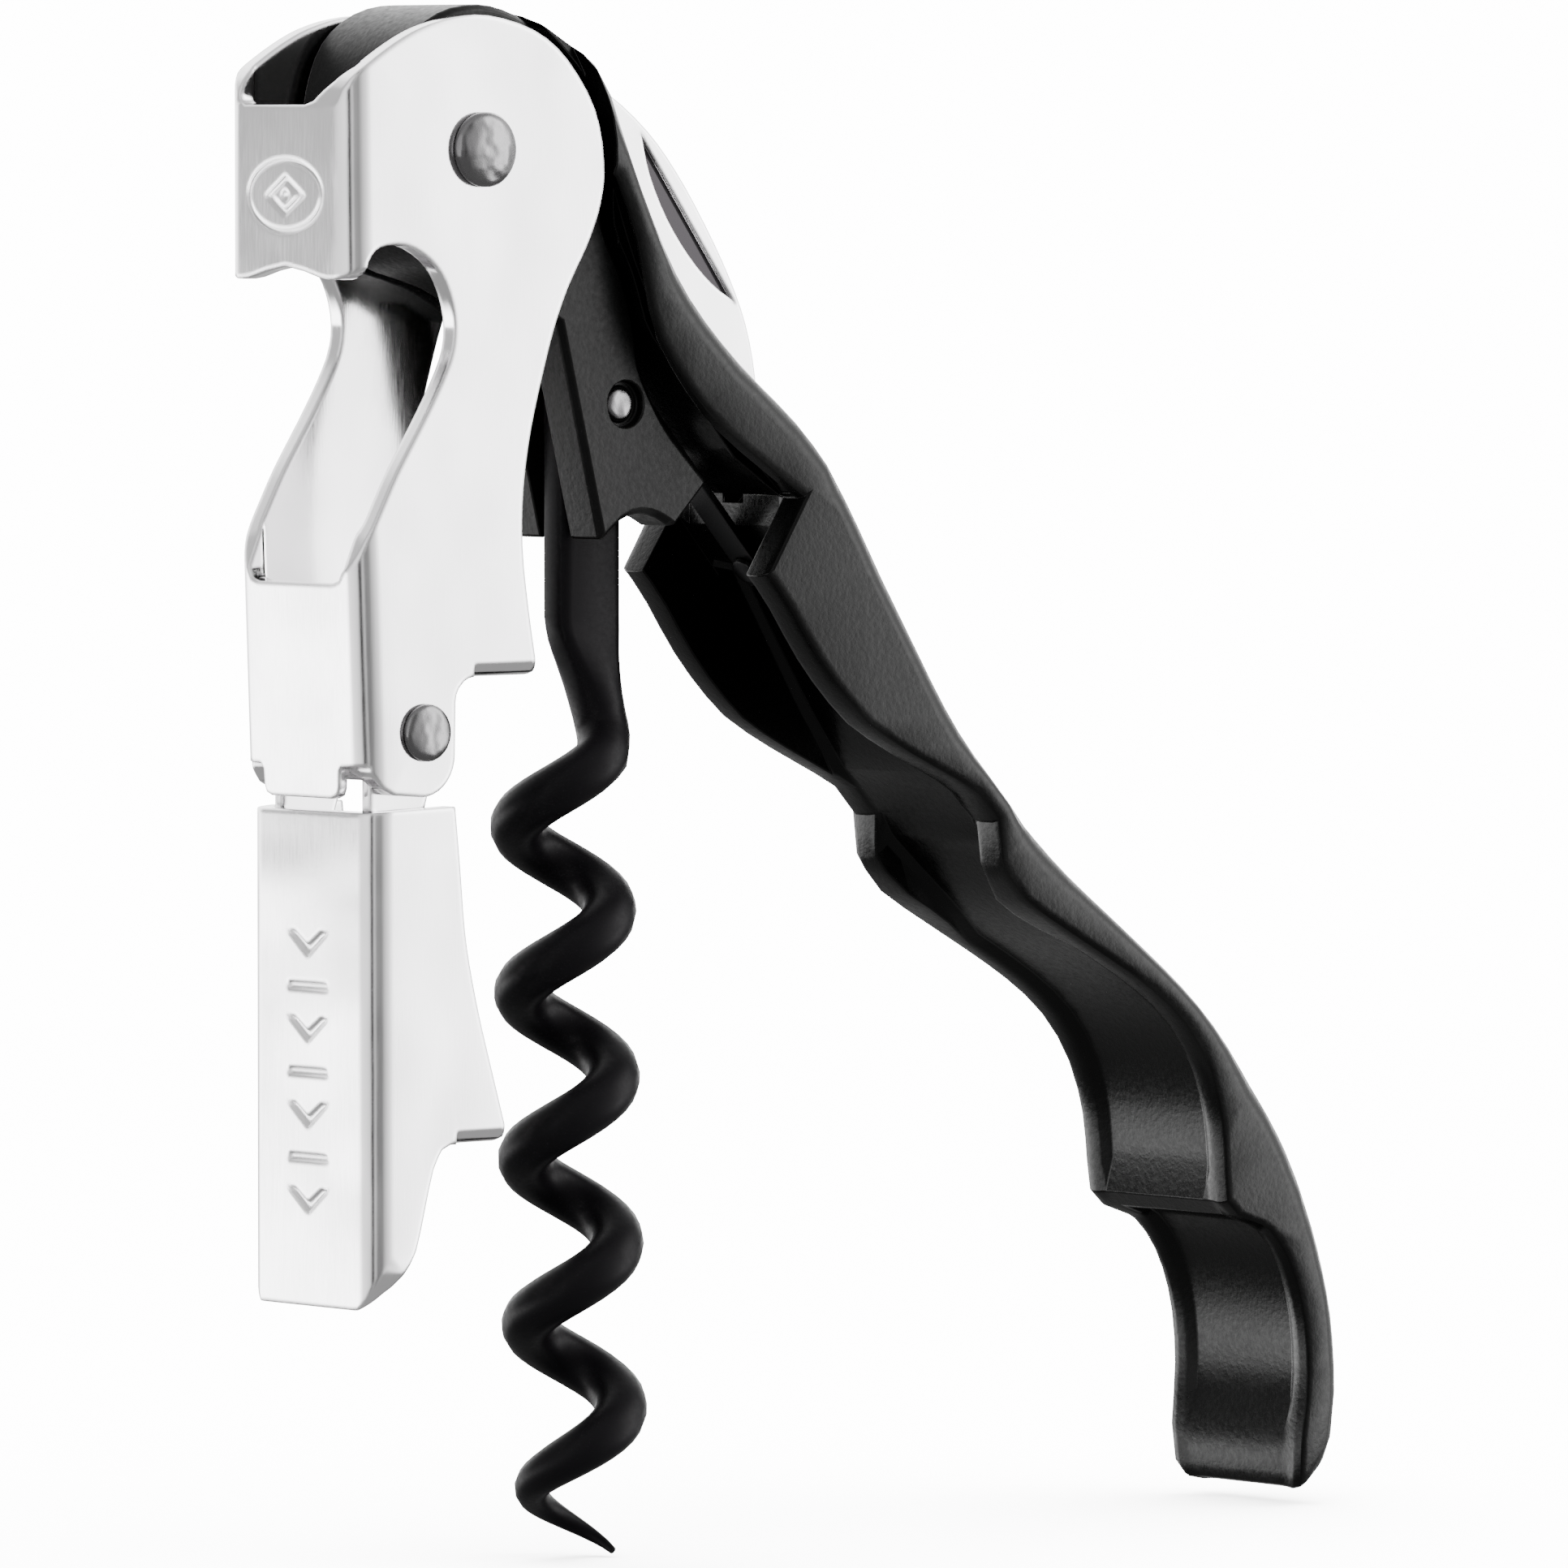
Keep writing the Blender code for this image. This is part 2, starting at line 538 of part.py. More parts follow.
def make_lever(look):
    levels = [12.0, -12.0, -26.0, -42.0]
    lever = loft("lever_arm", [channel_section(web_at(z), 14, z, LEVER_HALF, SHEET) for z in levels], look)
    carve(lever, prism("side_view", lever_outline(), -9, 9), "INTERSECT")
    wave = curve([(6.5, -6.9), (5.9, -7.7), (4.9, -8.1), (3.4, -8.0), (0.0, -7.3), (-3.4, -8.0),
                  (-4.9, -8.1), (-5.9, -7.7), (-6.5, -6.9)], 2)
    top = [(-5.1, 12.0), (-5.1, 5.2), (-4.2, 4.3), (-2.6, 3.05), (-1.9, 2.8), (4.1, 2.8), (4.6, 3.1),
           (4.8, 3.6), (4.8, 12.0)]
    front = [(-6.5, 12.0)] + top + [(6.5, 12.0)] + wave
    below = [(-6.5, -12.0), (6.5, -12.0), (6.5, -38.5), (4.0, -38.6), (3.75, -38.9), (3.7, -39.9),
             (3.5, -40.4), (3.0, -40.6), (-3.0, -40.6), (-3.5, -40.4), (-3.7, -39.9), (-3.75, -38.9),
             (-4.0, -38.6), (-6.5, -38.5)]
    keep = front_prism("front_view", front, -14, -8.9)
    carve(keep, front_prism("front_below", below, -14, -8.9), "UNION")
    carve(keep, prism("rest", [(-8.9, -50), (-8.9, 20), (15, 20), (15, -50)], -9, 9), "UNION")
    carve(lever, keep, "INTERSECT")
    notch = [(-4.7, -20.0), (-4.7, -26.2), (-4.3, -26.9), (-3.6, -27.1), (3.6, -27.1), (4.3, -26.9),
             (4.7, -26.2), (4.7, -20.0)]
    carve(lever, front_prism("notch", notch, -12, -8.3))
    for side in (-1, 1):
        lip = [(-0.5, -33.05), (4.35, -33.05), (4.3, -31.85), (-0.5, -31.85)]
        low, high = sorted((side * 3.4, side * (LEVER_HALF - 0.4)))
        carve(lever, prism("lip", lip, low, high), "UNION")
        carve(lever, lip_round(side, -33.1, -0.7, 6.0))
    drill(lever, (0, 0), RIVET_RADIUS + PIN_CLEARANCE)
    return drill(lever, STEP_PIN, STEP_PIN_RADIUS + PIN_CLEARANCE)


def step_outline():
    """The side view of the step arm below its ears."""
    right = curve([(-2.2, -41.2), (-1.8, -45.0), (-1.4, -49.2), (-0.8, -52.3), (0.0, -55.4),
                   (1.0, -58.7), (1.8, -61.4)], 3)
    fin = [(1.9, -62.2), (1.5, -62.5), (-2.6, -62.5)]
    below = curve([(-3.3, -62.8), (-4.0, -64.0), (-4.7, -66.5), (-5.4, -69.0), (-6.4, -70.6),
                   (-7.6, -71.6), (-8.6, -72.4), (-9.8, -73.0)], 2)
    return right + fin + below + [(-10.2, -75.0), (-13.0, -75.0), (-13.0, -41.6), (-7.4, -41.4)]


def make_step_arm(look):
    levels = [-40.0, -76.0]
    arm = loft("step_arm", [channel_section(along(STEP_WEB, z), 10, z, LEVER_HALF, SHEET)
                            for z in levels], look)
    carve(arm, prism("side_view", step_outline(), -9, 9), "INTERSECT")
    front = ([(-6.5, -38.0), (6.5, -38.0)] + arc((1.2, -69.3), 5.0, 0, -90, 8)
             + arc((-1.2, -69.3), 5.0, -90, -180, 8))
    carve(arm, front_prism("front_view", front, -14, 15), "INTERSECT")
    for side in (-1, 1):
        carve(arm, lip_round(side, -62.5, -2.2, 6.0))
    for side in (-1, 1):
        ear = arc(STEP_PIN, EAR_RADIUS, -40, 130, 9) + [(-8.0, -35.2), (-8.0, -43.0), (-4.1, -43.0)]
        low, high = sorted((side * (EAR_HALF - EAR_SHEET), side * EAR_HALF))
        carve(arm, prism("ear", ear, low, high), "UNION")
        joggle = [(-8.0, -41.7), (-3.8, -41.7), (-4.1, -43.0), (-8.0, -43.0)]
        low, high = sorted((side * (EAR_HALF - EAR_SHEET + 0.1), side * (LEVER_HALF - 0.6)))
        carve(arm, prism("joggle", joggle, low, high), "UNION")
    return drill(arm, STEP_PIN, STEP_PIN_RADIUS + PIN_CLEARANCE)


def make_step_pin(look):
    profile = domed(STEP_PIN_RADIUS, STEP_HEAD_RADIUS, 0.3, 0.65)
    return turned("step_pin", STEP_PIN, profile, look, 32)


def make_step_spring(look):
    """A bowed leaf between the ears that keeps the step arm straight."""
    line = [(-8.25, -34.6), (-7.9, -33.4), (-8.35, -31.5), (-8.35, -28.2)]
    return strip("step_spring", line, 0.4, 2.6, look)


# ---------------------------------------------------------------- worm
def worm_axis(z):
    """The middle of the coil at height z, in the upright frame about the worm pin."""
    return WORM_OFFSET - math.tan(WORM_LEAN) * z


def shank_sections():
    """Centre, half width and half thickness of the flat shank, from the eye to the wire."""
    sections = []
    for angle in (80, 65, 50, 35, 20, 0):
        reach = SHANK_END * math.sin(math.radians(angle))
        half = max(0.9, SHANK_HALF * math.cos(math.radians(angle)))
        sections.append((SHANK_X, 0.0, reach, half, SHANK_THICKNESS / 2))
    for z in (-3.0, -8.0):
        sections.append((SHANK_X, 0.0, z, SHANK_HALF, SHANK_THICKNESS / 2))
    sections += curve([(SHANK_X, 0.0, -13.6, SHANK_HALF, SHANK_THICKNESS / 2),
                       (0.22, -0.1, -14.8, 2.5, 1.2), (0.32, -0.35, -16.2, 2.12, 1.34),
                       (0.45, -0.6, -17.5, 1.86, 1.55), (0.62, -0.8, -18.8, 1.75, 1.68),
                       (0.74, -1.1, -20.1, WORM_WIRE_RADIUS, WORM_WIRE_RADIUS),
                       (0.52, -1.72, -21.3, WORM_WIRE_RADIUS, WORM_WIRE_RADIUS),
                       coil_section(0)], 2)[:-1]
    return sections


def coil_section(step):
    """A round wire about a leaning axis, drawn out to a point at its tip."""
    z = COIL_TOP + (COIL_END - COIL_TOP) * step / COIL_STEPS
    angle = math.radians(COIL_START) + 2 * math.pi * (z - COIL_TOP) / WORM_PITCH
    radius = WORM_WIRE_RADIUS
    left = COIL_STEPS - step
    if left < TAPER_STEPS:
        radius *= 0.14 + 0.86 * math.sin(math.pi / 2 * left / TAPER_STEPS)
    return (worm_axis(z) + WORM_COIL_RADIUS * math.cos(angle), WORM_COIL_RADIUS * math.sin(angle), z,
            radius, radius)


def section_ring(centre, across, other, half, thick):
    """A ring that is a rounded bar where it is flat and a circle where it is round."""
    ring = []
    corner = 2 + 4 * abs(half - thick) / half
    for k in range(WORM_SIDES):
        angle = 2 * math.pi * (k + 0.5) / WORM_SIDES
        u = math.copysign(abs(math.cos(angle)) ** (2 / corner), math.cos(angle))
        v = math.copysign(abs(math.sin(angle)) ** (2 / corner), math.sin(angle))
        ring.append(tuple(centre + across * half * u + other * thick * v))
    return ring


def make_worm(look):
    """The worm: a flat shank with a round eye end, drawn into a coiled wire."""
    shank = shank_sections()
    sections = shank + [coil_section(step) for step in range(COIL_STEPS + 1)]
    centres = [Vector(section[:3]) for section in sections]
    across = Vector((1, 0, 0))
    rings = []
    for i, section in enumerate(sections):
        way = (centres[min(i + 1, len(centres) - 1)] - centres[max(i - 1, 0)]).normalized()
        if section[2] > -14:
            way = Vector((0, 0, -1))
        across = (across - way * across.dot(way)).normalized()
        rings.append(section_ring(centres[i], across, way.cross(across), section[3], section[4]))
    worm = loft("worm", rings[::-1], look)
    return drill(worm, (0, 0), WORM_PIN_RADIUS + PIN_CLEARANCE)


# ---------------------------------------------------------------- assembly
def main():
    for old in list(bpy.data.objects):
        bpy.data.objects.remove(old)
    steel = material("satin_steel", (0.78, 0.77, 0.78), 1.0, 0.32)
    rivet_steel = material("rivet_steel", (0.55, 0.54, 0.54), 1.0, 0.38)
    handle_black = material("handle_black", (0.016, 0.016, 0.016), 0.0, 0.3)
    frame_black = material("frame_black", (0.02, 0.02, 0.021), 0.0, 0.45)
    worm_black = material("worm_coating", (0.022, 0.02, 0.023), 0.0, 0.5)
    blade_steel = material("blade_steel", (0.8, 0.79, 0.8), 1.0, 0.25)
    spring_steel = material("spring_steel", (0.035, 0.035, 0.036), 1.0, 0.4)
    washer_black = material("washer_nylon", (0.03, 0.03, 0.03), 0.0, 0.6)

    head = axis_empty("head_axis", None, (HEAD_X, HEAD_Z), 0)
    handle = axis_empty("handle_axis", head, (0, 0), OPEN_ANGLE)
    lever = axis_empty("lever_axis", head, (0, 0), 0)
    step = axis_empty("step_axis", lever, STEP_PIN, 0)
    worm = axis_empty("worm_axis", handle, WORM_PIN, -OPEN_ANGLE)
    knife = axis_empty("knife_axis", handle, KNIFE_PIN, 0)

    hang(make_handle_shell(handle_black), handle)
    hang(make_head_frame(frame_black), handle)
    hang(make_head_rivet(rivet_steel), handle)
    hang(make_pin("worm_pin", WORM_PIN, WORM_PIN_RADIUS, FRAME_HALF - 0.45, rivet_steel), handle)
    hang(make_pin("knife_pin", KNIFE_PIN, KNIFE_PIN_RADIUS, FRAME_HALF - 0.15, rivet_steel), handle)
    hang(make_knife_spring(spring_steel), handle)
    hang(make_spring_rivet(spring_steel), handle)
    for name, side in (("near", -1), ("far", 1)):
        hang(make_frame_screw("frame_screw_" + name, side * FRAME_SCREW_Y, rivet_steel), handle)
        low, high = sorted((side * (FRAME_HALF + 0.1), side * (LEVER_HALF - SHEET - 0.1)))
        hang(washer("head_washer_" + name, (0, 0), low, high, 4.2, RIVET_RADIUS + PIN_CLEARANCE,
                    washer_black), handle)
        low, high = sorted((side * (KNIFE_THICKNESS / 2 + 0.08), side * 0.87))
        hang(washer("knife_washer_" + name, KNIFE_PIN, low, high, 2.3,
                    KNIFE_PIN_RADIUS + PIN_CLEARANCE, washer_black), handle)
        low, high = sorted((side * (EAR_HALF + 0.06), side * (LEVER_HALF - SHEET - 0.06)))
        hang(washer("step_washer_" + name, STEP_PIN, low, high, 2.6, STEP_PIN_RADIUS + PIN_CLEARANCE,
                    washer_black), lever)
    hang(make_lever(steel), lever)
    hang(make_step_pin(rivet_steel), lever)
    hang(make_step_spring(spring_steel), lever)
    hang(make_step_arm(steel), step, STEP_PIN)
    hang(make_worm(worm_black), worm)
    hang(make_knife(blade_steel), knife, KNIFE_PIN)


main()
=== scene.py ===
"""Looks of the lever corkscrew: studio, camera, detailed pieces and materials."""
import json
import math

import bmesh
import bpy
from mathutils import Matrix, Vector


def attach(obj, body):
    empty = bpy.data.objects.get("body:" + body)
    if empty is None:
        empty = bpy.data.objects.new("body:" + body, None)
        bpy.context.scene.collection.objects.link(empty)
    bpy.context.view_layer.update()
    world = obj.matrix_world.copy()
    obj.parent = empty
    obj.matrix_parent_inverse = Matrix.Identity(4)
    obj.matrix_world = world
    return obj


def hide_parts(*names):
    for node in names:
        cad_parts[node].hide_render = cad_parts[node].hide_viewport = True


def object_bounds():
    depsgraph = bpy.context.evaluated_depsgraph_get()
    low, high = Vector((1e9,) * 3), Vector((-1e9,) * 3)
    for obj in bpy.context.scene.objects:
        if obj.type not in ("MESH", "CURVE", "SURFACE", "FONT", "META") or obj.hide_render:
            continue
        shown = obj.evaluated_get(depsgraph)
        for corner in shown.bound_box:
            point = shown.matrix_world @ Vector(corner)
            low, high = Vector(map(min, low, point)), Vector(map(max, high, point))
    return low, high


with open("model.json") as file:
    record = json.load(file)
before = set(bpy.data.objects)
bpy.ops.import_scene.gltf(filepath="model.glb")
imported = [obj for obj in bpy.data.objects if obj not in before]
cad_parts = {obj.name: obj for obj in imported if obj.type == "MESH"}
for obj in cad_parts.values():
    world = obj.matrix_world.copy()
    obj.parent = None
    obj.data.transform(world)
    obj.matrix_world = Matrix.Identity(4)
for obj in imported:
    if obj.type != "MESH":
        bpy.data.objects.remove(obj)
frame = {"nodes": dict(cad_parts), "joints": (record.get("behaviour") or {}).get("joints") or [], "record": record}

MM = 0.001
cad_low, cad_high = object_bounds()
nodes = frame["nodes"]

# The head rivet's axis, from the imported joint, is the reference point for placing detail.
HEAD = Vector(next(j["pos_m"] for j in frame["joints"] if j["name"] == "lever_hinge")) / MM


def place(x, y, z):
    """A point in millimetres from the head rivet, as a point of the row frame."""
    return Vector((HEAD.x + x, y, HEAD.z + z)) * MM


# ---------------------------------------------------------------- node helpers
class Nodes:
    """Short calls for building one material's node tree."""

    def __init__(self, name):
        self.material = bpy.data.materials.new(name)
        self.material.use_nodes = True
        self.tree = self.material.node_tree
        self.shader = self.tree.nodes["Principled BSDF"]
        self.where = self.add("ShaderNodeTexCoord").outputs["Object"]

    def add(self, kind, **values):
        node = self.tree.nodes.new(kind)
        for key, value in values.items():
            setattr(node, key, value)
        return node

    def put(self, socket, value):
        if isinstance(value, bpy.types.NodeSocket):
            self.tree.links.new(value, socket)
        else:
            socket.default_value = value

    def scaled(self, x, y, z):
        mapping = self.add("ShaderNodeMapping")
        self.put(mapping.inputs["Vector"], self.where)
        mapping.inputs["Scale"].default_value = (x, y, z)
        return mapping.outputs["Vector"]

    def noise(self, scale, detail=3, roughness=0.55, vector=None, distortion=0.0):
        node = self.add("ShaderNodeTexNoise")
        self.put(node.inputs["Vector"], vector or self.where)
        node.inputs["Scale"].default_value = scale
        node.inputs["Detail"].default_value = detail
        node.inputs["Roughness"].default_value = roughness
        node.inputs["Distortion"].default_value = distortion
        return node.outputs["Fac"]

    def between(self, value, low, high, start=0.3, end=0.7):
        node = self.add("ShaderNodeMapRange")
        self.put(node.inputs["Value"], value)
        node.inputs["From Min"].default_value = start
        node.inputs["From Max"].default_value = end
        node.inputs["To Min"].default_value = low
        node.inputs["To Max"].default_value = high
        return node.outputs["Result"]

    def mix(self, share, first, second):
        node = self.add("ShaderNodeMix", data_type="RGBA")
        self.put(node.inputs["Factor"], share)
        self.put(node.inputs["A"], first if not isinstance(first, tuple) else (*first, 1))
        self.put(node.inputs["B"], second if not isinstance(second, tuple) else (*second, 1))
        return node.outputs["Result"]

    def sum(self, first, second, share=1.0):
        node = self.add("ShaderNodeMath", operation="MULTIPLY_ADD")
        self.put(node.inputs[0], second)
        node.inputs[1].default_value = share
        self.put(node.inputs[2], first)
        return node.outputs[0]

    def edge(self, low, high):
        """0 on flat faces, 1 along convex edges."""
        geometry = self.add("ShaderNodeNewGeometry")
        return self.between(geometry.outputs["Pointiness"], 0, 1, low, high)

    def painted_shade_mask(self, low, high):
        """1 on faces that look to the near side and lie between two values of y: the mask of a painted shade."""
        split = self.add("ShaderNodeSeparateXYZ")
        self.put(split.inputs[0], self.where)
        facing = self.add("ShaderNodeSeparateXYZ")
        self.put(facing.inputs[0], self.where.node.outputs["Normal"])
        share = self.between(facing.outputs["Y"], 1, 0, -0.6, -0.5)
        for start, end in ((low - 0.00003, low), (high + 0.00003, high)):
            product = self.add("ShaderNodeMath", operation="MULTIPLY")
            self.put(product.inputs[0], share)
            self.put(product.inputs[1], self.between(split.outputs["Y"], 0, 1, start, end))
            share = product.outputs[0]
        return share

    def bump(self, height, distance, strength=1.0, rounding=0.0):
        """Surface relief; rounding softens the edges below it within that radius."""
        node = self.add("ShaderNodeBump")
        if rounding:
            soft = self.add("ShaderNodeBevel", samples=8)
            soft.inputs["Radius"].default_value = rounding
            self.put(node.inputs["Normal"], soft.outputs["Normal"])
        node.inputs["Strength"].default_value = strength
        node.inputs["Distance"].default_value = distance
        self.put(node.inputs["Height"], height)
        self.put(self.shader.inputs["Normal"], node.outputs["Normal"])

    def set(self, name, value):
        self.put(self.shader.inputs[name], (*value, 1) if isinstance(value, tuple) else value)


def steel(name, colour, rough_low, rough_high, grain=(1, 1, 0.06), depth=0.0000025, dents=0.0,
          dent_scale=750, rounding=0.0, shadow=None):
    """Brushed and tumbled stainless steel; grain stretches the brushing along an axis.

    Where shadow is given, it is a range of y in which faces turned to the near side get a painted shade, a
    near-black colour.
    """
    m = Nodes(name)
    brushed = m.noise(9000, 2, 0.6, m.scaled(*grain))
    cloud = m.noise(160, 3, 0.5)
    speck = m.noise(2600, 2, 0.5)
    darker = tuple(0.94 * c for c in colour)
    base = m.mix(m.between(cloud, 0, 1, 0.35, 0.65), colour, darker)
    if shadow:
        # painted shade: near-side faces within the shadow range of y are mixed to near black
        base = m.mix(m.painted_shade_mask(*shadow), base, (0.03, 0.028, 0.03))
    m.set("Base Color", base)
    m.set("Metallic", 1.0)
    rough = m.between(m.sum(brushed, cloud, 0.6), rough_low, rough_high, 0.55, 1.05)
    m.set("Roughness", rough)
    height = m.sum(brushed, speck, 0.35)
    if dents:
        height = m.sum(height, m.noise(dent_scale, 1, 0.4), dents)
    m.bump(height, depth, 0.55, rounding)
    return m.material


def coating(name, colour, lighter, rough_low, rough_high, grain_scale, depth, specular, edge_highlight_share=0.35):
    """Lacquer, moulded plastic or non-stick coating with a fine grain and a painted highlight, a lighter colour
    along convex edges.
    """
    m = Nodes(name)
    grain = m.noise(grain_scale, 2, 0.6)
    cloud = m.noise(90, 3, 0.5)
    base = m.mix(m.between(cloud, 0, 1, 0.3, 0.7), colour, tuple(1.3 * c for c in colour))
    # painted highlight: convex edges are mixed towards the lighter colour
    painted_edge_highlight = m.add("ShaderNodeMath", operation="MULTIPLY")
    m.put(painted_edge_highlight.inputs[0], m.edge(0.53, 0.62))
    painted_edge_highlight.inputs[1].default_value = edge_highlight_share
    m.set("Base Color", m.mix(painted_edge_highlight.outputs[0], base, lighter))
    m.set("Roughness", m.between(m.sum(grain, cloud, 0.5), rough_low, rough_high, 0.5, 1.0))
    m.set("Specular IOR Level", specular)
    m.bump(grain, depth, 0.6)
    return m.material


satin_steel = steel("satin_steel_look", (0.84, 0.83, 0.84), 0.09, 0.16, dents=100, dent_scale=105,
                    rounding=0.00045)
rivet_steel = steel("rivet_steel_look", (0.17, 0.167, 0.17), 0.2, 0.3, (1, 1, 1), 0.00001, 40,
                    rounding=0.0004)
blade_steel = steel("blade_steel_look", (0.85, 0.84, 0.85), 0.08, 0.15, (0.06, 1, 0.2),
                    rounding=0.0003, shadow=(-0.0004, 0.0))
spring_steel = steel("spring_steel_look", (0.035, 0.035, 0.036), 0.3, 0.42, (1, 1, 0.1))
handle_black = coating("handle_black_look", (0.0022, 0.0022, 0.0022), (0.02, 0.02, 0.02),
                       0.2, 0.36, 2600, 0.00003, 0.13)
frame_black = coating("frame_black_look", (0.0026, 0.0025, 0.0025), (0.03, 0.03, 0.03),
                      0.3, 0.46, 2600, 0.00003, 0.13)
worm_coating = coating("worm_coating_look", (0.0045, 0.0038, 0.0046), (0.03, 0.03, 0.032),
                       0.36, 0.48, 3600, 0.000005, 0.06)
washer_nylon = coating("washer_nylon_look", (0.004, 0.004, 0.004), (0.02, 0.02, 0.02),
                       0.4, 0.55, 3000, 0.000004, 0.1)

LOOKS = {"satin_steel": satin_steel, "rivet_steel": rivet_steel, "handle_black": handle_black,
         "frame_black": frame_black, "worm_coating": worm_coating, "blade_steel": blade_steel,
         "spring_steel": spring_steel, "washer_nylon": washer_nylon}
SLOT_OF = {row["node"]: row["material_slot"] for row in frame["record"]["subparts"]}
BODY_OF = {node: body for body, names in frame["record"]["behaviour"]["bodies"].items()
           for node in names}

for name, node in nodes.items():
    node.data.materials.clear()
    node.data.materials.append(LOOKS[SLOT_OF[name]])


# ---------------------------------------------------------------- engraving
CUTTER_OVERLAP = 0.5


def groove(bm, outlines, x_face, depth):
    """Add a cutter to bm: the (y, z) outline, or the band between two outlines, cut into a face."""
    rows = []
    for x in (x_face - CUTTER_OVERLAP, x_face + depth):
        rows.append([[bm.verts.new(place(x, y, z)) for y, z in outline] for outline in outlines])
    count = len(outlines[0])
    for loop in range(len(outlines)):
        for i in range(count):
            j = (i + 1) % count
            start = rows[0][loop]
            end = rows[1][loop]
            bm.faces.new((start[i], start[j], end[j], end[i]))
    for row in rows:
        if len(outlines) == 1:
            bm.faces.new(row[0])
        else:
            for i in range(count):
                j = (i + 1) % count
                bm.faces.new((row[0][i], row[0][j], row[1][j], row[1][i]))


def oval(centre_z, across, tall, count=64):
    """An ellipse about the middle of the face, as (y, z) points."""
    angles = [2 * math.pi * i / count for i in range(count)]
    return [(across * math.cos(angle), centre_z + tall * math.sin(angle)) for angle in angles]


def engrave(piece, outline_sets, x_face, depth):
    """Cut the strokes into the front face of a piece."""
    bm = bmesh.new()
    for outlines in outline_sets:
        groove(bm, outlines, x_face, depth)
    bmesh.ops.recalc_face_normals(bm, faces=bm.faces)
    mesh = bpy.data.meshes.new("strokes")
    bm.to_mesh(mesh)
    bm.free()
    cutter = bpy.data.objects.new("strokes", mesh)
    bpy.context.scene.collection.objects.link(cutter)
    cut = piece.modifiers.new("engraving", "BOOLEAN")
    cut.operation = "DIFFERENCE"
    cut.solver = "EXACT"
    cut.object = cutter
    bpy.context.view_layer.update()
    graph = bpy.context.evaluated_depsgraph_get()
    carved = bpy.data.meshes.new_from_object(piece.evaluated_get(graph))
    piece.modifiers.remove(cut)
    piece.data = carved
    bpy.data.objects.remove(cutter)


def chevron(centre_z, half, rise, stroke):
    """A V-shaped stroke that points down the arm."""
    top = centre_z + rise
    bottom = centre_z - rise
    return [(-half, top), (-half + stroke, top), (0, bottom + stroke),
            (half - stroke, top), (half, top), (0, bottom)]


# ---------------------------------------------------------------- refined copies of the CAD nodes
JOIN_GAP = 0.003 * MM
TINY_EDGE = 0.02 * MM
FLAT_ANGLE = math.radians(0.6)
THIN_WEDGE = math.radians(150)
ROOM_SHARE = 0.42


def prepare(mesh, sharp, width):
    """Join the split corners, merge flat facets, mark the edges that stay crisp, and give each
    of them the widest rounding that its neighbours leave room for."""
    bm = bmesh.new()
    bm.from_mesh(mesh)
    bmesh.ops.remove_doubles(bm, verts=bm.verts, dist=JOIN_GAP)
    bmesh.ops.dissolve_limit(bm, angle_limit=FLAT_ANGLE, verts=bm.verts, edges=bm.edges)
    bmesh.ops.dissolve_degenerate(bm, dist=TINY_EDGE, edges=bm.edges)
    weights = bm.edges.layers.float.get("bevel_weight_edge")
    if weights is None:
        weights = bm.edges.layers.float.new("bevel_weight_edge")
    room = {edge: width for edge in bm.edges}
    for face in bm.faces:
        face.smooth = True
        for loop in face.loops:
            angle = loop.calc_angle()
            slant = math.sin(angle) if angle < math.pi / 2 else 1.0
            before = loop.link_loop_prev.edge
            after = loop.edge
            room[before] = min(room[before], ROOM_SHARE * slant * after.calc_length())
            room[after] = min(room[after], ROOM_SHARE * slant * before.calc_length())
    for edge in bm.edges:
        turn = edge.calc_face_angle(math.pi)
        edge.smooth = turn <= sharp
        edge[weights] = room[edge] / width if sharp < turn < THIN_WEDGE else 0.0
    bmesh.ops.triangulate(bm, faces=[face for face in bm.faces if len(face.verts) > 4],
                          ngon_method="BEAUTY")
    bm.to_mesh(mesh)
    bm.free()


def refined(name, width, segments=2, sharp=32, strokes=(), x_face=0.0, depth=0.0):
    """A smooth copy of a CAD node with softened edges, which stands for it in the picture."""
    mesh = nodes[name].data.copy()
    mesh.name = name + "_fine"
    piece = bpy.data.objects.new(name + "_fine", mesh)
    bpy.context.scene.collection.objects.link(piece)
    prepare(mesh, math.radians(sharp), width * MM)
    if strokes:
        engrave(piece, strokes, x_face, depth)
        prepare(piece.data, math.radians(sharp), width * MM)
    edge = piece.modifiers.new("edges", "BEVEL")
    edge.width = width * MM
    edge.segments = segments
    edge.limit_method = "WEIGHT"
    edge.use_clamp_overlap = False
    level = piece.modifiers.new("shading", "WEIGHTED_NORMAL")
    level.weight = 80
    level.keep_sharp = True
    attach(piece, BODY_OF[name])
    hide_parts(name)
    return piece


BEAK_FACE = -10.9
MARK_Z = -2.9
MARK_DEPTH = 0.12
STEP_FACE = -9.2
STROKE_TOP = -49.8
STROKE_PITCH = 2.7
STROKE_COUNT = 7
STROKE_HALF = 1.9
STROKE_DEPTH = 0.2
BAR_HALF = 0.22


def lozenge(half, rise):
    return [(-half, MARK_Z), (0, MARK_Z - rise), (half, MARK_Z), (0, MARK_Z + rise)]


def bar(centre_z):
    low = centre_z - BAR_HALF
    high = centre_z + BAR_HALF
    return [(-STROKE_HALF, low), (STROKE_HALF, low), (STROKE_HALF, high), (-STROKE_HALF, high)]


beak_strokes = [[oval(MARK_Z, 3.67, 2.3), oval(MARK_Z, 3.5, 2.13)],
                [lozenge(1.9, 1.25), lozenge(1.35, 0.88)],
                [oval(MARK_Z, 0.32, 0.32, 16)]]
arm_strokes = []
for k in range(STROKE_COUNT):
    middle = STROKE_TOP - STROKE_PITCH * k
    arm_strokes.append([bar(middle) if k % 2 else chevron(middle, STROKE_HALF, 0.75, 0.62)])

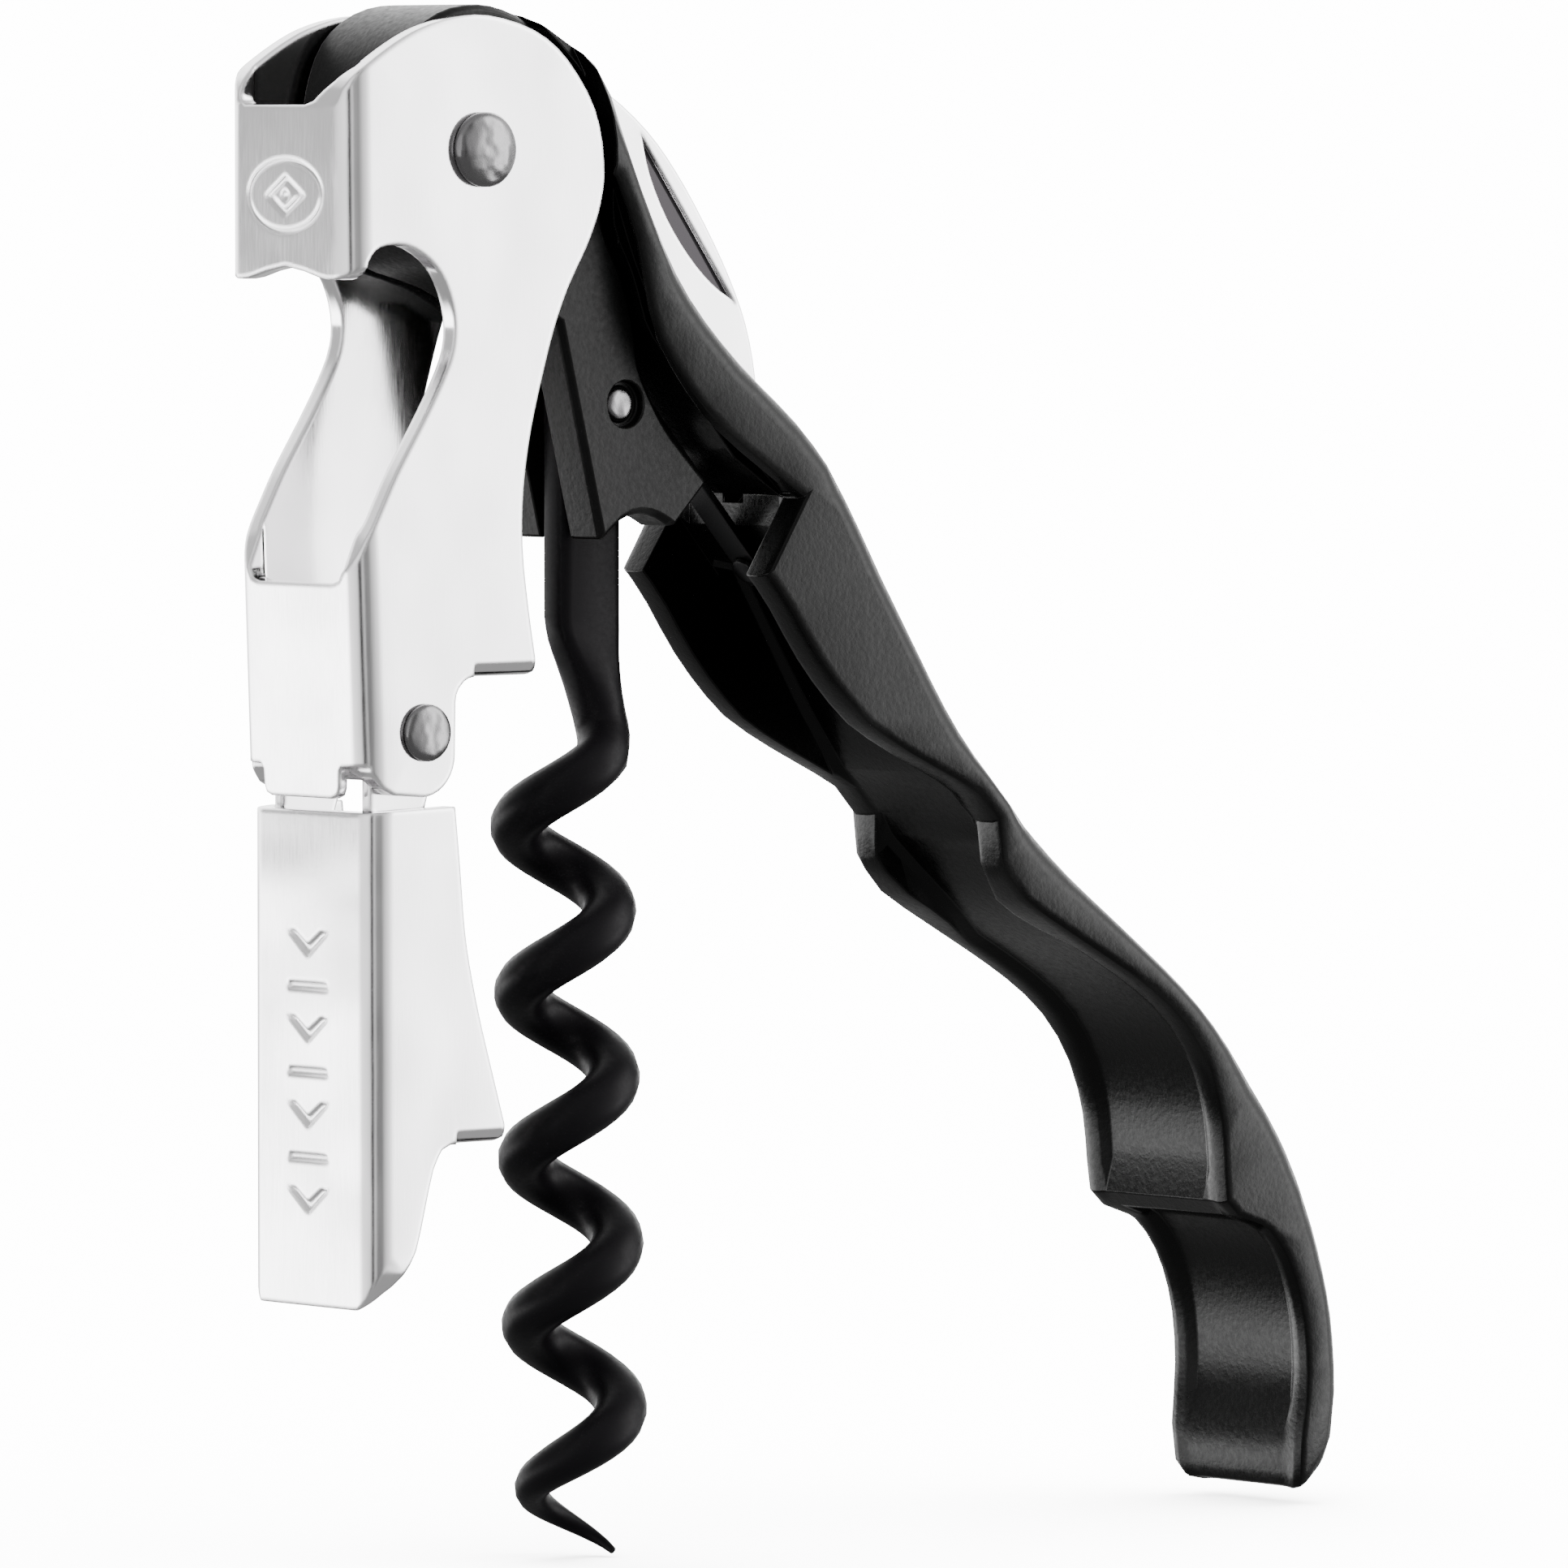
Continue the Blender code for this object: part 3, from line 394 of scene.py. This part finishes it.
refined("lever_arm", 0.07, 2, 32, beak_strokes, BEAK_FACE, MARK_DEPTH)
refined("step_arm", 0.13, 3, 32, arm_strokes, STEP_FACE, STROKE_DEPTH)
refined("handle_shell", 0.08, 2, 34)
refined("head_frame", 0.1, 2, 34)
refined("worm", 0.06, 2, 50)
refined("head_rivet", 0.06, 2, 40)
refined("step_pin", 0.06, 2, 40)
refined("worm_pin", 0.05, 2, 40)
refined("knife_pin", 0.05, 2, 40)
refined("knife_blade", 0.06, 2, 32)
refined("knife_spring", 0.05, 2, 34)
refined("step_spring", 0.04, 2, 34)
refined("spring_rivet", 0.04, 2, 34)
for side in ("near", "far"):
    refined("frame_screw_" + side, 0.05, 2, 40)
    refined("head_washer_" + side, 0.04, 2, 40)
    refined("knife_washer_" + side, 0.03, 2, 40)
    refined("step_washer_" + side, 0.02, 1, 40)

# ---------------------------------------------------------------- studio
CAMERA_AZIMUTH = math.radians(41)
CAMERA_PITCH = math.radians(2.831)
CAMERA_DISTANCE = 846.0
CAMERA_SIDE = 23.0
CAMERA_HEIGHT = 1.74
right = Vector((math.cos(CAMERA_AZIMUTH), -math.sin(CAMERA_AZIMUTH), 0))
ahead = Vector((math.sin(CAMERA_AZIMUTH), math.cos(CAMERA_AZIMUTH), 0))
camera_data = bpy.data.cameras.new("camera")
camera_data.sensor_width = 36
camera_data.lens = 307.45
camera_data.clip_start = 0.01
camera_data.clip_end = 100
camera = bpy.data.objects.new("camera", camera_data)
bpy.context.scene.collection.objects.link(camera)
aside = right * CAMERA_SIDE - ahead * CAMERA_DISTANCE
camera.location = place(0, 0, CAMERA_HEIGHT) + aside * MM
camera.rotation_euler = (math.radians(90) - CAMERA_PITCH, 0, -CAMERA_AZIMUTH)
bpy.context.scene.camera = camera

FLOOR_RADIUS = 0.5
FLOOR_GAP = 0.0002
floor_mesh = bpy.data.meshes.new("floor")
bm = bmesh.new()
bmesh.ops.create_circle(bm, cap_ends=True, segments=128, radius=FLOOR_RADIUS)
bm.to_mesh(floor_mesh)
bm.free()
floor = bpy.data.objects.new("floor", floor_mesh)
bpy.context.scene.collection.objects.link(floor)
floor.location.z = cad_low.z - FLOOR_GAP
floor_look = Nodes("floor_look")
floor_look.set("Base Color", (0.9, 0.9, 0.9))
floor_look.set("Roughness", 0.7)
floor_look.set("Specular IOR Level", 0.1)
floor_mesh.materials.append(floor_look.material)
floor.visible_glossy = False
floor.visible_diffuse = False

# A wide, soft light from above that falls on the floor only, so the floor stays white.
only_floor = bpy.data.collections.new("only_floor")
only_floor.objects.link(floor)
sun_data = bpy.data.lights.new("floor_light", "SUN")
sun_data.energy = 48
sun_data.angle = math.radians(100)
sun = bpy.data.objects.new("floor_light", sun_data)
bpy.context.scene.collection.objects.link(sun)
sun.light_linking.receiver_collection = only_floor

# The studio round the object: soft boxes and darker walls by direction, white backdrop.
world = bpy.data.worlds.new("studio")
world.use_nodes = True
tree = world.node_tree
shell = tree.nodes["Background"]


def world_math(operation, first, second=None):
    node = tree.nodes.new("ShaderNodeMath")
    node.operation = operation
    for socket, value in zip(node.inputs, (first, second)):
        if isinstance(value, bpy.types.NodeSocket):
            tree.links.new(value, socket)
        elif value is not None:
            socket.default_value = value
    return node.outputs[0]


def world_dot(direction):
    node = tree.nodes.new("ShaderNodeVectorMath")
    node.operation = "DOT_PRODUCT"
    tree.links.new(way, node.inputs[0])
    node.inputs[1].default_value = direction
    return node.outputs["Value"]


way = tree.nodes.new("ShaderNodeTexCoord").outputs["Generated"]
round_angle = world_math("ARCTAN2", world_dot(right), world_dot(-ahead))
share = world_math("MULTIPLY_ADD", round_angle, 1 / (2 * math.pi))
share.node.inputs[2].default_value = 0.5
STRENGTH = 8.5
BACKDROP = 15.0
CEILING = 0.12
UNDERFOOT = 0.05
WALLS = [(-180, 0.5), (-130, 0.45), (-110, 0.09), (-75, 0.085), (-60, 0.17), (-22, 0.24), (-14, 0.2),
         (-11, 0.012), (-2, 0.012), (3, 0.15), (14, 0.06), (32, 0.05), (50, 0.14), (66, 0.22),
         (77, 0.4), (87, 1.0), (102, 1.0), (113, 0.3), (140, 0.25), (160, 0.5), (180, 0.5)]
TABLE = [(-180, 0.1), (-140, 0.2), (-125, 1.0), (-70, 1.0), (-50, 0.3), (-16, 0.15), (-11, 0.01),
         (-2, 0.01), (3, 0.12), (14, 0.03), (32, 0.03), (50, 0.12), (66, 0.2), (77, 0.35),
         (87, 1.0), (102, 1.0), (113, 0.25), (135, 0.2), (180, 0.1)]


def world_ramp(stops):
    """Brightness round the horizon: degrees to the right of the camera, and a share of white."""
    node = tree.nodes.new("ShaderNodeValToRGB")
    tree.links.new(share, node.inputs["Fac"])
    elements = node.color_ramp.elements
    ends = {0: 0, len(stops) - 1: -1}
    for index, (degrees, value) in enumerate(stops):
        stop = elements[ends[index]] if index in ends else elements.new(degrees / 360 + 0.5)
        stop.color = (value, value, value, 1)
    grey = tree.nodes.new("ShaderNodeRGBToBW")
    tree.links.new(node.outputs["Color"], grey.inputs["Color"])
    return grey.outputs[0]


def world_fade(value, start, end):
    """0 at start, 1 at end, smooth between."""
    node = tree.nodes.new("ShaderNodeMapRange")
    node.interpolation_type = "SMOOTHSTEP"
    tree.links.new(value, node.inputs["Value"])
    node.inputs["From Min"].default_value = start
    node.inputs["From Max"].default_value = end
    return node.outputs["Result"]


def world_blend(first, second, factor):
    node = tree.nodes.new("ShaderNodeMix")
    for socket, value in zip(node.inputs, (factor, None, first, second)):
        if isinstance(value, bpy.types.NodeSocket):
            tree.links.new(value, socket)
        elif value is not None:
            socket.default_value = value
    return node.outputs[0]


height = world_dot((0, 0, 1))
horizon = world_fade(height, math.sin(math.radians(-4.5)), math.sin(math.radians(-2.0)))
overhead = world_fade(height, 0.55, 0.85)
underfoot = world_fade(height, -0.2, -0.42)
around = world_blend(world_ramp(TABLE), world_ramp(WALLS), horizon)
level = world_blend(around, CEILING, overhead)
level = world_blend(level, UNDERFOOT, underfoot)
strength = world_math("MULTIPLY", level, STRENGTH)
seen = tree.nodes.new("ShaderNodeLightPath").outputs["Is Camera Ray"]
backdrop = world_math("MAXIMUM", strength, world_math("MULTIPLY", seen, BACKDROP))
tree.links.new(backdrop, shell.inputs["Strength"])
shell.inputs["Color"].default_value = (1, 1, 1, 1)
bpy.context.scene.world = world
